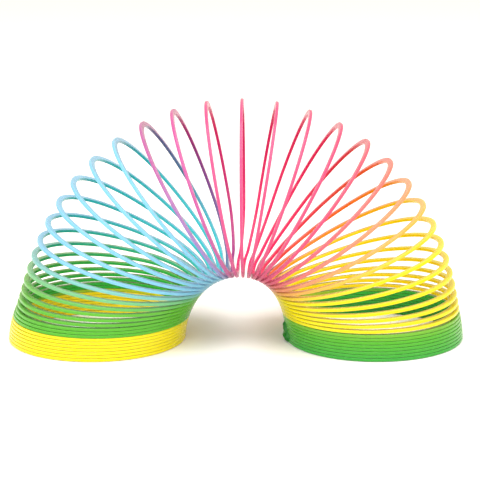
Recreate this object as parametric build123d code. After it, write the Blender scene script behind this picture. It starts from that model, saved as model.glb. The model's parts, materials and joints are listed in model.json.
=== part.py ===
"""Spring coil toy: one long plastic strip wound into a coil and stood up as an arch.

The strip is continuous on the real toy. Here each turn is its own solid, because each turn moves
against the next one. A turn starts and ends at the inner side of the arch, where neighbouring
turns touch, and there it is hinged to its neighbour about an axis parallel to Y. From its start
a turn climbs one strip thickness, and the rest of it is level.

Frame: origin on the floor at the middle of the toy, +X along the arch, +Y away from the front,
+Z up. The left foot is at -X.
"""
import os
from math import asin, cos, degrees, exp, radians, sin

from build123d import *

# Driving dimensions, in millimetres and degrees
COIL_RADIUS = 37.5          # outside radius of a turn
STRIP_WIDTH = 2.5           # the strip's width, along the radius
STRIP_HEIGHT = 1.32         # the strip's thickness, along the coil's axis
TURNS = 49                  # turns in the whole coil
CLOSED_RISE = 1.425         # rise from one turn to the next where they lie on each other
SEAM_GAP = 0.06             # gap between the end of one turn and the start of the next
RISER_ANGLE = 70.0          # the first part of a turn, where it climbs off the one before

# The fan: how the 180 degrees from foot to foot are shared between the seams
CROWN_SEAM = 25.52          # seam number at which the fan is widest
FAN_SPREAD = 10.44          # seams from the crown at which the opening falls to 1/e
FAN_SHARPNESS = 2.47        # 2 is a Gaussian; more gives a flatter crown and tighter feet
LEAST_OPENING = 0.6         # seams that would open by less than this stay closed
CROWN_EXTRA_RISE = 0.71     # extra rise at the inner side of the turns at the crown
CROWN_RISE_SPREAD = 1.81    # turns from the crown at which that extra rise falls to 1/e

# How far each turn is shifted towards the middle of the arch against the one before it
LEFT_LEAN = 1.278           # at the left side's leaning place
RIGHT_LEAN = 1.0157         # at the right side's, set so that both feet reach the floor
LEAN_TURN = 18.66           # turns from the floor to the middle of the leaning place
LEAN_SPREAD = 12.24         # turns from there at which the lean falls to 1/e

# The strip's two ends, melted on to the turns beside them
WELD_TURNS = 5              # turns that a weld reaches over
WELD_WIDTH = 5.0            # along the turns
WELD_DEPTH = 1.3            # how far it stands out of the coil
WELD_BITE = 0.05            # how far it reaches into the strip
LEFT_WELD_ANGLE = 74.0      # where it stands round the left foot, from its inner side
RIGHT_WELD_ANGLE = -9.0     # where it stands round the right foot, from its inner side


def bell(distance, spread, sharpness=2.0):
    """1 at the middle, falling to 1/e at the spread."""
    return exp(-(abs(distance) / spread) ** sharpness)


def seam_openings():
    """The opening in degrees at each seam: entry k lies between turn k and turn k + 1."""
    shares = [bell(seam - CROWN_SEAM, FAN_SPREAD, FAN_SHARPNESS) for seam in range(1, TURNS)]
    widest = 180.0 / sum(shares)
    kept = [share if share * widest > LEAST_OPENING else 0.0 for share in shares]
    return [180.0 * share / sum(kept) for share in kept]


def turn_layout():
    """For each turn: its tilt in degrees, its start (x, z), its rise and its lean."""
    openings = seam_openings() + [0.0]
    tilt, x, z = 0.0, 0.0, 0.0
    layout = []
    for turn in range(TURNS):
        from_crown = turn + 0.5 - CROWN_SEAM
        rise = CLOSED_RISE + CROWN_EXTRA_RISE * bell(from_crown, CROWN_RISE_SPREAD)
        from_right = TURNS - 1 - turn
        lean = RIGHT_LEAN * bell(from_right - LEAN_TURN, LEAN_SPREAD)
        lean -= LEFT_LEAN * bell(turn - LEAN_TURN, LEAN_SPREAD)
        layout.append((tilt, x, z, rise, lean))
        along_x, along_z = sin(radians(tilt)), cos(radians(tilt))
        x += rise * along_x - lean * along_z
        z += rise * along_z + lean * along_x
        tilt += openings[turn]
    return layout


def riser(rise, lean):
    """The climbing part of a turn: four ruled faces between its edges, and two flat ends."""
    first = degrees(asin(SEAM_GAP / COIL_RADIUS))
    steps = 12
    rails = []
    for across, up in ((1, -1), (0, -1), (0, 1), (1, 1)):
        radius = COIL_RADIUS - across * STRIP_WIDTH
        points = []
        for step in range(steps + 1):
            angle = first + (RISER_ANGLE - first) * step / steps
            done = angle / RISER_ANGLE
            done = done * done * (3.0 - 2.0 * done)
            x = radius * cos(radians(angle)) - COIL_RADIUS - lean * done
            y = radius * sin(radians(angle))
            points.append(Vector(x, y, up * STRIP_HEIGHT / 2 + rise * done))
        rails.append(Edge.make_spline(points))
    faces = [Face.make_surface_from_curves(rails[k], rails[(k + 1) % 4]) for k in range(4)]
    for end in (0.0, 1.0):
        corners = [rail.position_at(end) for rail in rails]
        faces.append(Face(Wire.make_polygon(corners, close=True)))
    return Solid(Shell(faces))


def level_part(rise, lean):
    """The level part of a turn, from the top of the riser round to the next seam."""
    section = Plane.XZ * Rectangle(STRIP_WIDTH, STRIP_HEIGHT)
    section = Pos(COIL_RADIUS - STRIP_WIDTH / 2, 0, 0) * section
    ring = revolve(Rot(0, 0, RISER_ANGLE) * section, Axis.Z, 360.0 - RISER_ANGLE)
    return Pos(-COIL_RADIUS - lean, 0, rise) * ring


def turn_plane(layout):
    """A turn's own frame: origin at its start, X to the inside of the arch, Z along the coil."""
    tilt, x, z = layout[:3]
    across, along = cos(radians(tilt)), sin(radians(tilt))
    return Plane((x, 0, z), x_dir=(across, 0, -along), z_dir=(along, 0, across))


def make_turn(turn, layout):
    """One turn of the strip, in its place. The first one lies on the floor and has no riser."""
    rise, lean = layout[3:]
    solid = level_part(rise, lean)
    if turn > 0:
        solid = solid + riser(rise, lean)
    return turn_plane(layout) * solid


def make_weld(layouts, turns, angle):
    """A bead up the outside of a foot at one end of the strip, over the turns given."""
    lowest, highest = layouts[turns[0]], layouts[turns[-1]]
    facing = cos(radians(lowest[0]))
    shift = (highest[1] - highest[4] * facing) - (lowest[1] - lowest[4] * facing)
    out_shift = shift * facing * cos(radians(angle))
    height = abs(highest[2] + highest[3] * facing - lowest[2] - lowest[3] * facing)
    # the bead's side view: distance from the foot's axis, and height over the lowest turn
    inside, outside = COIL_RADIUS - WELD_BITE, COIL_RADIUS + WELD_DEPTH
    top = height + STRIP_HEIGHT / 2
    corners = [(inside, -STRIP_HEIGHT / 2), (outside, -STRIP_HEIGHT / 2),
               (outside, STRIP_HEIGHT / 2), (outside + out_shift - WELD_DEPTH / 3, top),
               (inside + out_shift, top)]
    side = Plane.XZ * make_face(Polyline(*corners, close=True))
    bead = extrude(side, WELD_WIDTH / 2, both=True)
    bead = Rot(0, 0, angle if facing > 0 else 180.0 - angle) * bead
    axis_x = lowest[1] - (COIL_RADIUS + lowest[4]) * facing
    return Pos(axis_x, 0, lowest[2] + lowest[3] * facing) * bead


def turn_name(turn):
    """The node's name: turns are counted from the left foot."""
    return f"turn_{turn + 1:02d}"


def main():
    os.makedirs("parts", exist_ok=True)
    layouts = turn_layout()
    parts = {turn_name(k): make_turn(k, layouts[k]) for k in range(TURNS)}
    parts["left_end_weld"] = make_weld(layouts, range(WELD_TURNS), LEFT_WELD_ANGLE)
    last_turns = range(TURNS - 1, TURNS - 1 - WELD_TURNS, -1)
    parts["right_end_weld"] = make_weld(layouts, last_turns, RIGHT_WELD_ANGLE)
    boxes = [solid.bounding_box() for solid in parts.values()]
    low_x, high_x = min(box.min.X for box in boxes), max(box.max.X for box in boxes)
    centre_x, floor_z = (low_x + high_x) / 2, min(box.min.Z for box in boxes)
    for name, solid in parts.items():
        placed = Pos(-centre_x, 0, -floor_z) * solid
        export_step(placed, f"parts/{name}.step")
        print(name, round(placed.volume, 1), len(placed.solids()), placed.is_valid)
    height = max(box.max.Z for box in boxes) - floor_z
    print("width", round(high_x - low_x, 2), "height", round(height, 2))
    for k, (tilt, x, z, rise, lean) in enumerate(layouts):
        print("start", turn_name(k), x - centre_x, z - floor_z, tilt, rise, lean)


main()
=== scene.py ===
# %% [markdown]
# # A rainbow coil toy, standing as an arch
#
# The toy is one long strip of glossy plastic, wound like a spring. Stood on its two ends it makes
# an arch: the turns lie on each other in both feet and fan out over the top. The CAD model gives
# us that shape as rigid turns, each hinged to the next. Here each turn gets the strip's true
# rounded edges, a strip that bends smoothly from one turn into the next, and the plastic itself.

# %% Load the frame
import json
from math import cos, exp, pi, radians, sin, sqrt

import bmesh
import bpy
import numpy as np
from mathutils import Matrix, Vector

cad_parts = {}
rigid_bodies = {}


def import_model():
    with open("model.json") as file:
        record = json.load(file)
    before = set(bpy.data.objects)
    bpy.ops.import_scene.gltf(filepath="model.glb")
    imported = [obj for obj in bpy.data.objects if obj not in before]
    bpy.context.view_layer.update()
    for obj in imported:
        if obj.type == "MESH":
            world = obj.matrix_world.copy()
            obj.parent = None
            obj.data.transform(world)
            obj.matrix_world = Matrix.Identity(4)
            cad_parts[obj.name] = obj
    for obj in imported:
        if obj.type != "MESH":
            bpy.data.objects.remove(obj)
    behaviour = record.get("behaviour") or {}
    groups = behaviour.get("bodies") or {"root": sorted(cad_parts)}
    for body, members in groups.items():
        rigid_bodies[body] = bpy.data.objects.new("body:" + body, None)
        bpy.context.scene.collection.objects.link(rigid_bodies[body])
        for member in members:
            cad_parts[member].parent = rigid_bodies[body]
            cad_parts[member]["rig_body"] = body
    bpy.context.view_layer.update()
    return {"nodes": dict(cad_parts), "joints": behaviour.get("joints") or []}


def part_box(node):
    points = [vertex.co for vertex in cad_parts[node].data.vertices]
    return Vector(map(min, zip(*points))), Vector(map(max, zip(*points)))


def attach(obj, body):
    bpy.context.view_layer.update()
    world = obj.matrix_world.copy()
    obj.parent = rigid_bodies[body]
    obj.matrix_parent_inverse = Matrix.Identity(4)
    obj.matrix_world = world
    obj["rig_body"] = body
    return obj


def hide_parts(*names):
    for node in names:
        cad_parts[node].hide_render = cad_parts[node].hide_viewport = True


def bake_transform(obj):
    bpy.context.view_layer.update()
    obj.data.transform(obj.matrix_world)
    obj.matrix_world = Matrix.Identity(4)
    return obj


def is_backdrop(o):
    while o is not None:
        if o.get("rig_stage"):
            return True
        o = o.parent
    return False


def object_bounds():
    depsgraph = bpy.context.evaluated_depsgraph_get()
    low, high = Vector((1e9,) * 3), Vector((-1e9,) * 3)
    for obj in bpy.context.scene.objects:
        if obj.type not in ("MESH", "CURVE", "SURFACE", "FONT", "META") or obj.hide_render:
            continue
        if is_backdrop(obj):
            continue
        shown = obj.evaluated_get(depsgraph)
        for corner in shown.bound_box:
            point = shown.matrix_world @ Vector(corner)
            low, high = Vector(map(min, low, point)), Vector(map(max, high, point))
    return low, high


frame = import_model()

MM = 0.001  # Blender works in metres, and the toy is described in millimetres

# %% [markdown]
# ## Where each turn lies
#
# A turn starts at the inner side of the arch, goes round the back, over the outside and comes
# down the front. It climbs off the turn before it in its first part and is level after that.
# We could read these places from the CAD meshes point by point, but a few measures describe all
# the turns, and the same rule as in the CAD then gives each turn's start, tilt, rise and lean.

# %% Measures of the coil
COIL_RADIUS = 37.5
STRIP_WIDTH = 2.5
STRIP_HEIGHT = 1.32
TURNS = 49
CLOSED_RISE = 1.425
RISER_ANGLE = 70.0
CROWN_SEAM, FAN_SPREAD, FAN_SHARPNESS, LEAST_OPENING = 25.52, 10.44, 2.47, 0.6
CROWN_EXTRA_RISE, CROWN_RISE_SPREAD = 0.71, 1.81
LEFT_LEAN, RIGHT_LEAN, LEAN_TURN, LEAN_SPREAD = 1.278, 1.0157, 18.66, 12.24
WELD_TURNS = 5  # turns that each end weld holds


def bell(distance, spread, sharpness=2.0):
    """1 in the middle, falling to 1/e at the spread."""
    return exp(-(abs(distance) / spread) ** sharpness)


def turn_name(turn):
    """The CAD node's name; turns are counted from the left foot."""
    return f"turn_{turn + 1:02d}"


# %% Tilt, start, rise and lean of every turn
def turn_layout():
    """For each turn: tilt in degrees, start x and z, rise and lean, in the row frame."""
    shares = [bell(seam - CROWN_SEAM, FAN_SPREAD, FAN_SHARPNESS) for seam in range(1, TURNS)]
    widest = 180.0 / sum(shares)
    shares = [share if share * widest > LEAST_OPENING else 0.0 for share in shares]
    openings = [180.0 * share / sum(shares) for share in shares] + [0.0]
    tilt, x, z, layout = 0.0, 0.0, 0.0, []
    for turn in range(TURNS):
        rise = CLOSED_RISE + CROWN_EXTRA_RISE * bell(turn + 0.5 - CROWN_SEAM, CROWN_RISE_SPREAD)
        lean = RIGHT_LEAN * bell(TURNS - 1 - turn - LEAN_TURN, LEAN_SPREAD)
        lean -= LEFT_LEAN * bell(turn - LEAN_TURN, LEAN_SPREAD)
        layout.append([tilt, x, z, rise, lean])
        x += rise * sin(radians(tilt)) - lean * cos(radians(tilt))
        z += rise * cos(radians(tilt)) + lean * sin(radians(tilt))
        tilt += openings[turn]
    # the first turn lies flat on the floor, so its CAD box says where the coil begins
    low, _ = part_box(turn_name(0))
    shift_x = low.x / MM + 2 * COIL_RADIUS + layout[0][4]
    shift_z = low.z / MM + STRIP_HEIGHT / 2 - layout[0][3]
    return [(tilt, x + shift_x, z + shift_z, rise, lean) for tilt, x, z, rise, lean in layout]


LAYOUT = turn_layout()
BODY_OF = {node: obj["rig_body"] for node, obj in frame["nodes"].items()}
print("crown turn tilts", round(LAYOUT[TURNS // 2 + 1][0], 2), "degrees")
for joint in frame["joints"][::8]:
    print(joint["name"], "hinges at", [round(v / MM, 2) for v in joint["pos_m"]])

# %% [markdown]
# ## From one turn to the next
#
# The CAD turns meet at a hinge, and there the tilt jumps by up to ten degrees. The real strip is
# elastic and twists over a short stretch instead. So the first part of each turn, `BEND_START` to
# `BEND_END` away from the hinge, takes the tilt over gradually.

# %% A point on the strip
BEND_START, BEND_END = 2.0, 6.5  # millimetres from the hinge, across the coil


def smooth(share):
    """0 to 1 with level ends."""
    share = min(1.0, max(0.0, share))
    return share * share * (3.0 - 2.0 * share)


def strip_point(turn, angle, across, up):
    """A point of a turn: angle in degrees from its start, across inwards, up along the coil."""
    tilt, start_x, start_z, rise, lean = LAYOUT[turn]
    climbed = 1.0 if turn == 0 else smooth(angle / RISER_ANGLE)
    radius = COIL_RADIUS - across
    inward = radius * cos(radians(angle)) - COIL_RADIUS - lean * climbed
    y = radius * sin(radians(angle))
    along = up + rise * climbed
    if turn > 0 and angle < 180.0:
        taken = smooth((-inward - BEND_START) / (BEND_END - BEND_START))
        tilt -= (1.0 - taken) * (tilt - LAYOUT[turn - 1][0])
    cosine, sine = cos(radians(tilt)), sin(radians(tilt))
    x = start_x + inward * cosine + along * sine
    z = start_z - inward * sine + along * cosine
    return (x * MM, y * MM, z * MM)


# %% [markdown]
# ## The strip's section
#
# A plain rectangle would give the strip knife edges, which catch no light. The real edges are
# rounded and the faces slightly crowned. The section is a closed ring of points, each with its
# place across the strip and up the coil, and the mesh joins such rings along the turn.

# %% Section points
EDGE_RADIUS = 0.24
EDGE_STEPS = 4
CROWNING = 0.02


def strip_section():
    """Points round the section as (across, up), from the outer face over the top to the inner."""
    high, wide = STRIP_HEIGHT / 2, STRIP_WIDTH
    out, top = CROWNING + EDGE_RADIUS, high - CROWNING - EDGE_RADIUS
    corners = [(out, -top, 270), (out, top, 180), (wide - out, top, 90), (wide - out, -top, 0)]
    face_middles = [[(0.0, 0.0)], [(wide * 0.35, high), (wide * 0.65, high)], [(wide, 0.0)],
                    [(wide * 0.65, -high), (wide * 0.35, -high)]]
    points = []
    for (across, up, first), middle in zip(corners, face_middles):
        for step in range(EDGE_STEPS + 1):
            turned = radians(first - 90.0 * step / EDGE_STEPS)
            points.append((across + EDGE_RADIUS * cos(turned), up + EDGE_RADIUS * sin(turned)))
        points += middle
    return points


SECTION = strip_section()
print(len(SECTION), "points round the section")

# %% [markdown]
# ## Sweeping the section along a turn
#
# A curve with a bevel would be quicker to write, but it decides the twist by itself. Here the
# twist is the whole point, so each ring of the mesh is placed by `strip_point`. Every vertex also
# keeps an attribute, `strip_place`: how many turns along the strip it is, how far across and how
# far up. The plastic's dye, its fine lines and the painted highlight and painted shade of its
# faces are all drawn by that attribute, so they stay on the strip when it bends.

# %% One stretch of strip
ANGLE_STEP = 3.0
# turns by which the bands lie further back on the outer side, at some places along the strip
SLANT_AT, SLANT = (12.0, 19.0, 25.0, 30.0, 34.0, 40.0), (0.0, 1.1, 1.1, 2.0, 2.0, 0.0)


def dye_place(turn, angle):
    """Turns along the strip as the dye sees them: its bands lie slightly askew near the crown."""
    place = turn + angle / 360.0
    outer_side = (1.0 - cos(radians(angle))) / 2
    return place + outer_side * np.interp(place, SLANT_AT, SLANT)


def make_strip(name, turn, first_angle, last_angle):
    """A closed mesh of the strip from one angle of a turn to another."""
    steps = max(2, round((last_angle - first_angle) / ANGLE_STEP))
    points, places, faces = [], [], []
    count = len(SECTION)
    for step in range(steps + 1):
        angle = first_angle + (last_angle - first_angle) * step / steps
        for across, up in SECTION:
            points.append(strip_point(turn, angle, across, up))
            places.append((dye_place(turn, angle), across / STRIP_WIDTH, 2 * up / STRIP_HEIGHT))
    for step in range(steps):
        for k in range(count):
            a, b = step * count + k, step * count + (k + 1) % count
            faces.append((a, b, b + count, a + count))
    faces += [tuple(reversed(range(count))), tuple(range(steps * count, (steps + 1) * count))]
    mesh = bpy.data.meshes.new(name)
    mesh.from_pydata(points, [], faces)
    place = mesh.attributes.new("strip_place", "FLOAT_VECTOR", "POINT")
    place.data.foreach_set("vector", np.array(places, np.float32).ravel())
    finish_mesh(mesh)
    strip = bpy.data.objects.new(name, mesh)
    bpy.context.scene.collection.objects.link(strip)
    return strip


def finish_mesh(mesh):
    """Faces outwards and shaded smooth, with the flat end faces kept out of the smoothing."""
    shape = bmesh.new()
    shape.from_mesh(mesh)
    bmesh.ops.recalc_face_normals(shape, faces=shape.faces)
    for face in shape.faces:
        face.smooth = len(face.verts) == 4
    for edge in shape.edges:
        edge.smooth = all(face.smooth for face in edge.link_faces)
    shape.to_mesh(mesh)
    shape.free()


# %% [markdown]
# ## Building all the turns
#
# In the feet, turns that never part are on one body, and each is a single piece. A turn that
# hinges on the one before is two pieces. Its back half starts at the hinge and is fixed where it
# lies, on no body, and its front half rides on the turn's own body. One object can't do both,
# because both ends of a turn lie at the same place, next to the hinge.


strips = []
for turn in range(TURNS):
    node = turn_name(turn)
    body = BODY_OF[node]
    body_before = BODY_OF[turn_name(turn - 1)] if turn else body
    if body == body_before:
        made = [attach(make_strip(node + "_strip", turn, 0.0, 360.0), body)]
    else:
        back = make_strip(node + "_back", turn, 0.0, 180.0)
        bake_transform(back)
        made = [back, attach(make_strip(node + "_front", turn, 180.0, 360.0), body)]
    for strip in made:
        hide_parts(node)
    strips += made
print(len(strips), "strip pieces,", sum(len(s.data.polygons) for s in strips), "faces")

# %% Measure them against the CAD
worst = 0.0
for turn in range(0, TURNS, 4):
    low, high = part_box(turn_name(turn))
    own = [strip for strip in strips if strip.name.startswith(turn_name(turn))]
    points = [vertex.co for strip in own for vertex in strip.data.vertices]
    for axis in range(3):
        worst = max(worst, abs(min(p[axis] for p in points) - low[axis]),
                    abs(max(p[axis] for p in points) - high[axis]))
print("largest difference from the CAD boxes, mm:", round(worst / MM, 2))

# %% [markdown]
# ## The strip's ends
#
# A coil toy's strip isn't simply cut off. Each end is melted on to the turns beside it, so that
# it can't catch or unwind, and that leaves a lumpy bead of plastic up the side of the foot. A
# sphere or a box would look stuck on. The bead is lofted from rings whose width and depth swell
# and shrink as softened plastic does, and its back is sunk into the turns that it holds.

# %% Melted ends
BEAD_RINGS, BEAD_POINTS = 40, 28
BEAD_SINK = 0.4  # how far the bead's middle lies under the strip's outer face


def make_end_bead(name, node, turns, angle, over, lumps):
    """A melted bead up the outside of a foot, `over` mm taller than the CAD weld under it.

    lumps are rows of (height share, width mm, depth mm, sideways shift mm), from the floor up.
    """
    low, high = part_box(node)
    heights, widths, depths, shifts = zip(*lumps)
    lowest, highest = LAYOUT[turns[0]], LAYOUT[turns[-1]]
    upright = 1.0 if lowest[0] < 90.0 else -1.0
    facing = radians(angle)
    points, places, faces = [], [], []
    for ring in range(BEAD_RINGS + 1):
        share = ring / BEAD_RINGS
        closing = 0.12 + 0.88 * sqrt(max(0.0, 1.0 - abs(2.0 * share - 1.0) ** 5))
        width = np.interp(share, heights, widths) * closing
        depth = np.interp(share, heights, depths) * closing + BEAD_SINK
        shift = np.interp(share, heights, shifts)
        z = low.z + (high.z - low.z + over * MM) * share
        axis_x = (lowest[1] - (COIL_RADIUS + lowest[4]) * upright) * (1.0 - share)
        axis_x += (highest[1] - (COIL_RADIUS + highest[4]) * upright) * share
        for k in range(BEAD_POINTS):
            turned = 2.0 * pi * k / BEAD_POINTS
            ripple = 1.0 + 0.10 * sin(11.0 * share + 3.0 * turned) + 0.06 * sin(23.0 * share)
            sideways = width / 2 * cos(turned)
            round_foot = facing + (sideways + shift) / COIL_RADIUS
            out = COIL_RADIUS - BEAD_SINK + depth * sin(turned) * (ripple if turned < pi else 0.5)
            points.append(((axis_x + upright * out * cos(round_foot)) * MM,
                           out * sin(round_foot) * MM, z))
            # across 0.9 gives the bead half of the inner face's painted shade colour
            places.append((turns[0] + 0.5, 0.9, 0.0))
    for ring in range(BEAD_RINGS):
        for k in range(BEAD_POINTS):
            a, b = ring * BEAD_POINTS + k, ring * BEAD_POINTS + (k + 1) % BEAD_POINTS
            faces.append((a, b, b + BEAD_POINTS, a + BEAD_POINTS))
    faces += [tuple(reversed(range(BEAD_POINTS))),
              tuple(range(BEAD_RINGS * BEAD_POINTS, (BEAD_RINGS + 1) * BEAD_POINTS))]
    mesh = bpy.data.meshes.new(name)
    mesh.from_pydata(points, [], faces)
    place = mesh.attributes.new("strip_place", "FLOAT_VECTOR", "POINT")
    place.data.foreach_set("vector", np.array(places, np.float32).ravel())
    finish_mesh(mesh)
    bead = bpy.data.objects.new(name, mesh)
    bpy.context.scene.collection.objects.link(bead)
    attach(bead, BODY_OF[node])
    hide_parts(node)
    return bead


left_turns = list(range(WELD_TURNS))
right_turns = list(range(TURNS - 1, TURNS - 1 - WELD_TURNS, -1))
LEFT_LUMPS = [(0.0, 4.6, 1.1, 0.3), (0.3, 5.2, 1.25, 0.0), (0.55, 4.0, 0.85, -0.3),
              (0.8, 3.6, 0.9, 0.1), (1.0, 2.4, 0.5, 0.2)]
RIGHT_LUMPS = [(0.0, 4.4, 1.2, -0.8), (0.25, 5.8, 1.7, -0.6), (0.45, 5.0, 1.3, -0.2),
               (0.6, 3.8, 1.4, 0.3), (0.8, 3.4, 1.3, 0.8), (1.0, 2.4, 0.6, 1.2)]
beads = [make_end_bead("left_end_bead", "left_end_weld", left_turns, 74.0, 0.4, LEFT_LUMPS),
         make_end_bead("right_end_bead", "right_end_weld", right_turns, -11.0, 1.6, RIGHT_LUMPS)]

# %% [markdown]
# ## The colours
#
# The strip is dyed in broad bands, and each runs into the next over part of a turn. Over the dye,
# the strip's outer face is painted paler, a painted highlight and painted reflection of the pale
# surround, and its inner face is painted deeper, painted shade between the strands. Two colour
# ramps along the strip, mixed by the place across it, give that. The colours are set for this
# scene's strong light, so they are darker than the plastic itself. A painted image would need
# seams and a file, and one colour per turn would show steps.

# %% Node helpers
def linear(red, green, blue):
    """A colour given as it looks on a screen, 0 to 1, turned into the linear one nodes use."""
    curve = [c / 12.92 if c <= 0.04045 else ((c + 0.055) / 1.055) ** 2.4
             for c in (red, green, blue)]
    return (*curve, 1.0)


def add(tree, kind, inputs=None, **settings):
    """A new node with its settings, and its inputs set to values or joined to outputs."""
    node = tree.nodes.new(kind)
    for name, value in settings.items():
        setattr(node, name, value)
    for name, value in (inputs or {}).items():
        if isinstance(value, bpy.types.NodeSocket):
            tree.links.new(value, node.inputs[name])
        else:
            node.inputs[name].default_value = value
    return node


def maths(tree, operation, first, second=0.0, third=0.0):
    """The output of one Math node."""
    made = add(tree, "ShaderNodeMath", {0: first, 1: second, 2: third}, operation=operation)
    return made.outputs[0]


def new_group(name, inputs, outputs):
    """An empty node group with named sockets, and its input and output nodes."""
    group = bpy.data.node_groups.new(name, "ShaderNodeTree")
    for label, kind, value in inputs:
        socket = group.interface.new_socket(label, in_out="INPUT", socket_type=kind)
        socket.default_value = value
    for label, kind in outputs:
        group.interface.new_socket(label, in_out="OUTPUT", socket_type=kind)
    return group, group.nodes.new("NodeGroupInput"), group.nodes.new("NodeGroupOutput")


# %% Dye bands, with painted highlight and painted shade
# each dye is given twice: a paler copy for the outer face, which holds a painted highlight, and a
# deeper copy for the inner face, which holds painted shade
YELLOW, SHADED_YELLOW = (0.85, 0.80, 0.0), (0.93, 0.82, 0.0)
GREEN, SHADED_GREEN = (0.29, 0.63, 0.12), (0.14, 0.66, 0.18)
SKY, SHADED_SKY = (0.45, 0.70, 0.82), (0.20, 0.69, 0.73)
PINK, SHADED_PINK = (0.76, 0.28, 0.48), (0.78, 0.10, 0.38)
# outer face: dye bands with the painted highlight
LIT_OUTER_BANDS = [(0.0, YELLOW), (7.0, YELLOW), (7.35, GREEN), (13.5, (0.34, 0.65, 0.18)),
               (15.3, (0.42, 0.68, 0.50)), (17.0, SKY), (22.75, SKY),
               (23.1, (0.52, 0.48, 0.71)), (23.5, (0.64, 0.35, 0.56)), (24.4, (0.68, 0.32, 0.56)),
               (25.4, PINK), (30.8, (0.76, 0.28, 0.42)), (32.2, (0.78, 0.40, 0.40)),
               (33.4, (0.82, 0.55, 0.37)), (34.6, (0.84, 0.66, 0.26)), (35.8, YELLOW),
               (40.9, YELLOW),
               (41.25, (0.42, 0.66, 0.16)), (43.5, GREEN), (49.0, (0.20, 0.60, 0.20))]
# inner face: dye bands with the painted shade
SHADED_INNER_BANDS = [(0.0, SHADED_YELLOW), (7.0, SHADED_YELLOW), (7.4, SHADED_GREEN),
               (14.0, (0.18, 0.64, 0.26)),
               (16.0, (0.16, 0.66, 0.54)), (18.0, SHADED_SKY), (22.2, SHADED_SKY),
               (22.9, (0.29, 0.44, 0.58)), (23.7, (0.42, 0.22, 0.50)), (24.4, (0.64, 0.14, 0.43)),
               (25.2, SHADED_PINK), (29.8, (0.82, 0.11, 0.34)), (31.2, (0.80, 0.20, 0.22)),
               (32.3, (0.88, 0.38, 0.10)), (33.3, (0.90, 0.58, 0.04)), (34.3, SHADED_YELLOW),
               (40.9, SHADED_YELLOW), (41.3, SHADED_GREEN), (49.0, (0.08, 0.50, 0.18))]


def band_ramp(tree, place, bands):
    """A colour ramp along the whole strip."""
    node = add(tree, "ShaderNodeValToRGB", {"Fac": place})
    ramp = node.color_ramp
    ramp.interpolation = "LINEAR"
    ramp.elements[0].position, ramp.elements[0].color = 0.0, linear(*bands[0][1])
    ramp.elements[1].position, ramp.elements[1].color = 1.0, linear(*bands[-1][1])
    for turns, colour in bands[1:-1]:
        ramp.elements.new(turns / TURNS).color = linear(*colour)
    return node.outputs["Color"]


def make_dye_and_shade_group():
    """Colour from the place on the strip: dye bands along it, painted shade deepening the inner
    face, uneven at their edges.
    """
    group, given, result = new_group(
        "dye_bands_and_painted_shade", [("Unevenness", "NodeSocketFloat", 0.3)],
        [("Color", "NodeSocketColor"), ("Inside", "NodeSocketFloat")])
    where = add(group, "ShaderNodeAttribute", attribute_name="strip_place")
    parts = add(group, "ShaderNodeSeparateXYZ", {"Vector": where.outputs["Vector"]})
    along, across = parts.outputs["X"], parts.outputs["Y"]
    stretch = add(group, "ShaderNodeVectorMath", {0: where.outputs["Vector"], 1: (2.5, 1.5, 0.5)},
                  operation="MULTIPLY")
    patches = add(group, "ShaderNodeTexNoise",
                  {"Vector": stretch.outputs[0], "Scale": 1.0, "Detail": 3.0})
    shift = maths(group, "SUBTRACT", patches.outputs["Fac"], 0.5)
    place = maths(group, "MULTIPLY_ADD", shift, given.outputs["Unevenness"], along)
    place = maths(group, "DIVIDE", place, float(TURNS))
    # painted shade: towards the inner face the colour moves from the paler copy, with its painted
    # highlight, to the deeper copy
    painted_shade_share = add(group, "ShaderNodeMapRange", {"Value": across, "From Min": 0.8, "From Max": 1.0},
                 interpolation_type="SMOOTHSTEP").outputs["Result"]
    colour = add(group, "ShaderNodeMix", data_type="RGBA")
    group.links.new(painted_shade_share, colour.inputs[0])
    group.links.new(band_ramp(group, place, LIT_OUTER_BANDS), colour.inputs[6])
    group.links.new(band_ramp(group, place, SHADED_INNER_BANDS), colour.inputs[7])
    group.links.new(colour.outputs[2], result.inputs["Color"])
    group.links.new(painted_shade_share, result.inputs["Inside"])
    return group


DYE_AND_PAINTED_SHADE = make_dye_and_shade_group()

# %% [markdown]
# ## The plastic's surface
#
# Moulded plastic is glossy but never perfect. The die leaves fine lines along the strip, and
# handling leaves small dull patches. The thin rounded edges are painted paler, a painted highlight
# where light catches them and passes through. The group gives a height for the bump, a roughness
# and a mask for that painted edge highlight.

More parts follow.
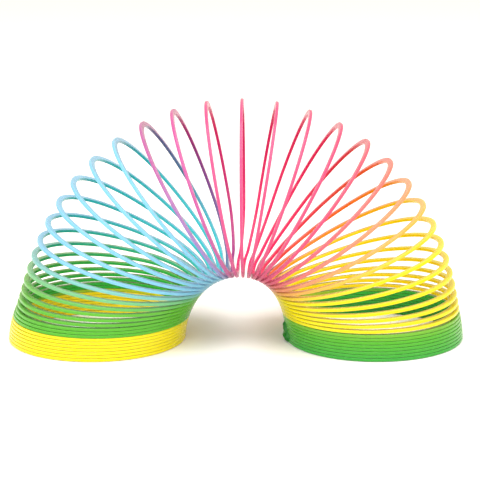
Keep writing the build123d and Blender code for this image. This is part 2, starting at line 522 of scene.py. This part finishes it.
# %% Fine lines and dull patches
def make_surface_group():
    """Height, roughness and the painted highlight on the edges, by the place on the strip."""
    group, given, result = new_group(
        "moulded_surface_and_highlight",
        [("Gloss", "NodeSocketFloat", 0.2), ("Dullness", "NodeSocketFloat", 0.15)],
        [("Height", "NodeSocketFloat"), ("Roughness", "NodeSocketFloat"),
         ("Edge", "NodeSocketFloat")])
    where = add(group, "ShaderNodeAttribute", attribute_name="strip_place")
    parts = add(group, "ShaderNodeSeparateXYZ", {"Vector": where.outputs["Vector"]})
    lines_at = add(group, "ShaderNodeVectorMath",
                   {0: where.outputs["Vector"], 1: (4.0, 16.0, 8.0)},
                   operation="MULTIPLY")
    lines = add(group, "ShaderNodeTexNoise",
                {"Vector": lines_at.outputs[0], "Scale": 1.0, "Detail": 2.0})
    waves_at = add(group, "ShaderNodeVectorMath",
                   {0: where.outputs["Vector"], 1: (60.0, 1.2, 0.6)},
                   operation="MULTIPLY")
    waves = add(group, "ShaderNodeTexNoise",
                {"Vector": waves_at.outputs[0], "Scale": 1.0, "Detail": 2.0})
    height = maths(group, "MULTIPLY_ADD", waves.outputs["Fac"], 0.6, lines.outputs["Fac"])
    patches = add(group, "ShaderNodeMapRange",
                  {"Value": waves.outputs["Fac"], "From Min": 0.45, "From Max": 0.7},
                  interpolation_type="SMOOTHSTEP").outputs["Result"]
    rough = maths(group, "MULTIPLY_ADD", patches, given.outputs["Dullness"],
                  given.outputs["Gloss"])
    # painted highlight: a mask for the top and bottom edges of the section, which are painted
    # paler
    up = maths(group, "ABSOLUTE", parts.outputs["Z"])
    edge = add(group, "ShaderNodeMapRange", {"Value": up, "From Min": 0.45, "From Max": 0.95},
               interpolation_type="SMOOTHSTEP").outputs["Result"]
    group.links.new(height, result.inputs["Height"])
    group.links.new(rough, result.inputs["Roughness"])
    group.links.new(edge, result.inputs["Edge"])
    return group


SURFACE = make_surface_group()


# %% The coil's plastic
SHEEN = 0.28            # below the usual 0.5, so that the pale surround doesn't wash the dye out
PLASTIC_IOR = 1.49
LIGHT_DEPTH = 0.8 * MM  # how far light gets into the strip
LINE_HEIGHT = 0.03 * MM
# pale tint of the painted highlight on the strip's edges
EDGE_HIGHLIGHT_TINT = (1.0, 0.97, 0.94)


def make_plastic(name, unevenness, gloss, dullness, edge_highlight, bump, depth=1.0):
    """Glossy dyed plastic that lets a little light into it, with a painted highlight on its edges;
    depth below 1 darkens the dye.
    """
    material = bpy.data.materials.new(name)
    material.use_nodes = True
    tree = material.node_tree
    shader = tree.nodes["Principled BSDF"]
    # this colour holds the dye bands together with the painted highlight and painted shade of the
    # strip's faces
    dye = add(tree, "ShaderNodeGroup", node_tree=DYE_AND_PAINTED_SHADE)
    dye.inputs["Unevenness"].default_value = unevenness
    surface = add(tree, "ShaderNodeGroup", node_tree=SURFACE)
    surface.inputs["Gloss"].default_value = gloss
    surface.inputs["Dullness"].default_value = dullness
    # painted highlight: the edges are mixed toward a pale tint
    share = maths(tree, "MULTIPLY", surface.outputs["Edge"], edge_highlight)
    colour = add(tree, "ShaderNodeMix", data_type="RGBA")
    tree.links.new(share, colour.inputs[0])
    tree.links.new(dye.outputs["Color"], colour.inputs[6])
    colour.inputs[7].default_value = linear(*EDGE_HIGHLIGHT_TINT)
    deepened = add(tree, "ShaderNodeHueSaturation", {"Color": colour.outputs[2], "Value": depth})
    tree.links.new(deepened.outputs["Color"], shader.inputs["Base Color"])
    tree.links.new(surface.outputs["Roughness"], shader.inputs["Roughness"])
    relief = add(tree, "ShaderNodeBump", {"Height": surface.outputs["Height"], "Strength": bump,
                                          "Distance": LINE_HEIGHT})
    tree.links.new(relief.outputs["Normal"], shader.inputs["Normal"])
    shader.inputs["IOR"].default_value = PLASTIC_IOR
    shader.inputs["Specular IOR Level"].default_value = SHEEN
    shader.inputs["Subsurface Weight"].default_value = 0.25
    shader.inputs["Subsurface Radius"].default_value = (1.0, 1.0, 1.0)
    shader.inputs["Subsurface Scale"].default_value = LIGHT_DEPTH
    return material


# the fifth number sets the painted edge highlight; the melted plastic has none
coil_plastic = make_plastic("coil_plastic", 0.35, 0.20, 0.12, 0.04, 0.5)
melted_plastic = make_plastic("melted_plastic", 0.2, 0.25, 0.2, 0.0, 1.0, 0.62)
for strip in strips:
    strip.data.materials.append(coil_plastic)
for bead in beads:
    bead.data.materials.append(melted_plastic)

# %% [markdown]
# ## Floor, light and camera
#
# The toy stands in a white studio: a floor without a visible edge, a large soft light above, one
# in front and one at each side. The surround is slightly warm. It is what the gloss reflects, and
# it fills the shadows between the feet.

# %% Floor
FLOOR_REACH = 6.0
FLOOR_DROP = 0.2 * MM  # keeps the floor clear of the feet's undersides


def make_floor():
    """A wide pale floor under the toy."""
    mesh = bpy.data.meshes.new("floor")
    reach = FLOOR_REACH
    corners = [(-reach, -reach, 0), (reach, -reach, 0), (reach, reach, 0), (-reach, reach, 0)]
    mesh.from_pydata(corners, [], [(0, 1, 2, 3)])
    floor = bpy.data.objects.new("floor", mesh)
    bpy.context.scene.collection.objects.link(floor)
    material = bpy.data.materials.new("floor_paper")
    material.use_nodes = True
    shader = material.node_tree.nodes["Principled BSDF"]
    shader.inputs["Base Color"].default_value = (0.96, 0.96, 0.96, 1.0)
    shader.inputs["Roughness"].default_value = 0.7
    shader.inputs["Specular IOR Level"].default_value = 0.2
    mesh.materials.append(material)
    floor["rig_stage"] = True
    return floor


floor = make_floor()
floor.location.z = -FLOOR_DROP


# %% Lights
def soft_light(name, place, aim, width, power, colour):
    """A square soft box at a place, looking at a point."""
    data = bpy.data.lights.new(name, "AREA")
    data.shape, data.size, data.energy, data.color = "SQUARE", width, power, colour
    light = bpy.data.objects.new(name, data)
    light.location = place
    light.rotation_euler = (Vector(aim) - Vector(place)).to_track_quat("-Z", "Y").to_euler()
    bpy.context.scene.collection.objects.link(light)
    return light


soft_light("top_box", (0.0, -0.25, 1.1), (0.0, 0.0, 0.04), 1.1, 14.0, (0.95, 0.985, 1.0))
soft_light("front_box", (-0.2, -1.4, 0.7), (0.0, 0.0, 0.05), 0.9, 6.0, (0.97, 0.99, 1.0))
soft_light("left_box", (-1.1, -0.7, 0.25), (-0.05, 0.0, 0.05), 0.8, 3.5, (0.97, 0.99, 1.0))
soft_light("right_box", (1.1, -0.7, 0.25), (0.05, 0.0, 0.05), 0.8, 3.5, (0.97, 0.99, 1.0))
world = bpy.data.worlds.new("studio")
world.use_nodes = True
world.node_tree.nodes["Background"].inputs["Color"].default_value = (1.0, 0.87, 0.73, 1.0)
world.node_tree.nodes["Background"].inputs["Strength"].default_value = 0.95
bpy.context.scene.world = world
bpy.context.scene.view_settings.view_transform = "Standard"

# %% Camera
CAMERA_HEIGHT_ANGLE, CAMERA_SIDE_ANGLE, CAMERA_ROLL = 14.08, 1.02, -0.34
CAMERA_DISTANCE, CAMERA_LENS = 0.9513, 169.8
CAMERA_AIM = (0.0021, 0.0, 0.0420)


def make_camera():
    """A long lens, a little above the toy."""
    data = bpy.data.cameras.new("camera")
    data.lens, data.sensor_width = CAMERA_LENS, 36.0
    camera = bpy.data.objects.new("camera", data)
    up_angle, side_angle = radians(CAMERA_HEIGHT_ANGLE), radians(CAMERA_SIDE_ANGLE)
    level = cos(up_angle)
    back = Vector((sin(side_angle) * level, -cos(side_angle) * level, sin(up_angle)))
    camera.location = Vector(CAMERA_AIM) + back * CAMERA_DISTANCE
    turn = (-back).to_track_quat("-Z", "Y").to_matrix().to_4x4()
    camera.rotation_euler = (turn @ Matrix.Rotation(radians(CAMERA_ROLL), 4, "Z")).to_euler()
    bpy.context.scene.collection.objects.link(camera)
    bpy.context.scene.camera = camera
    return camera


camera = make_camera()

# %% Sizes and finish
low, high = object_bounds()
print("visual model, mm:", [round(v / MM, 1) for v in high - low])
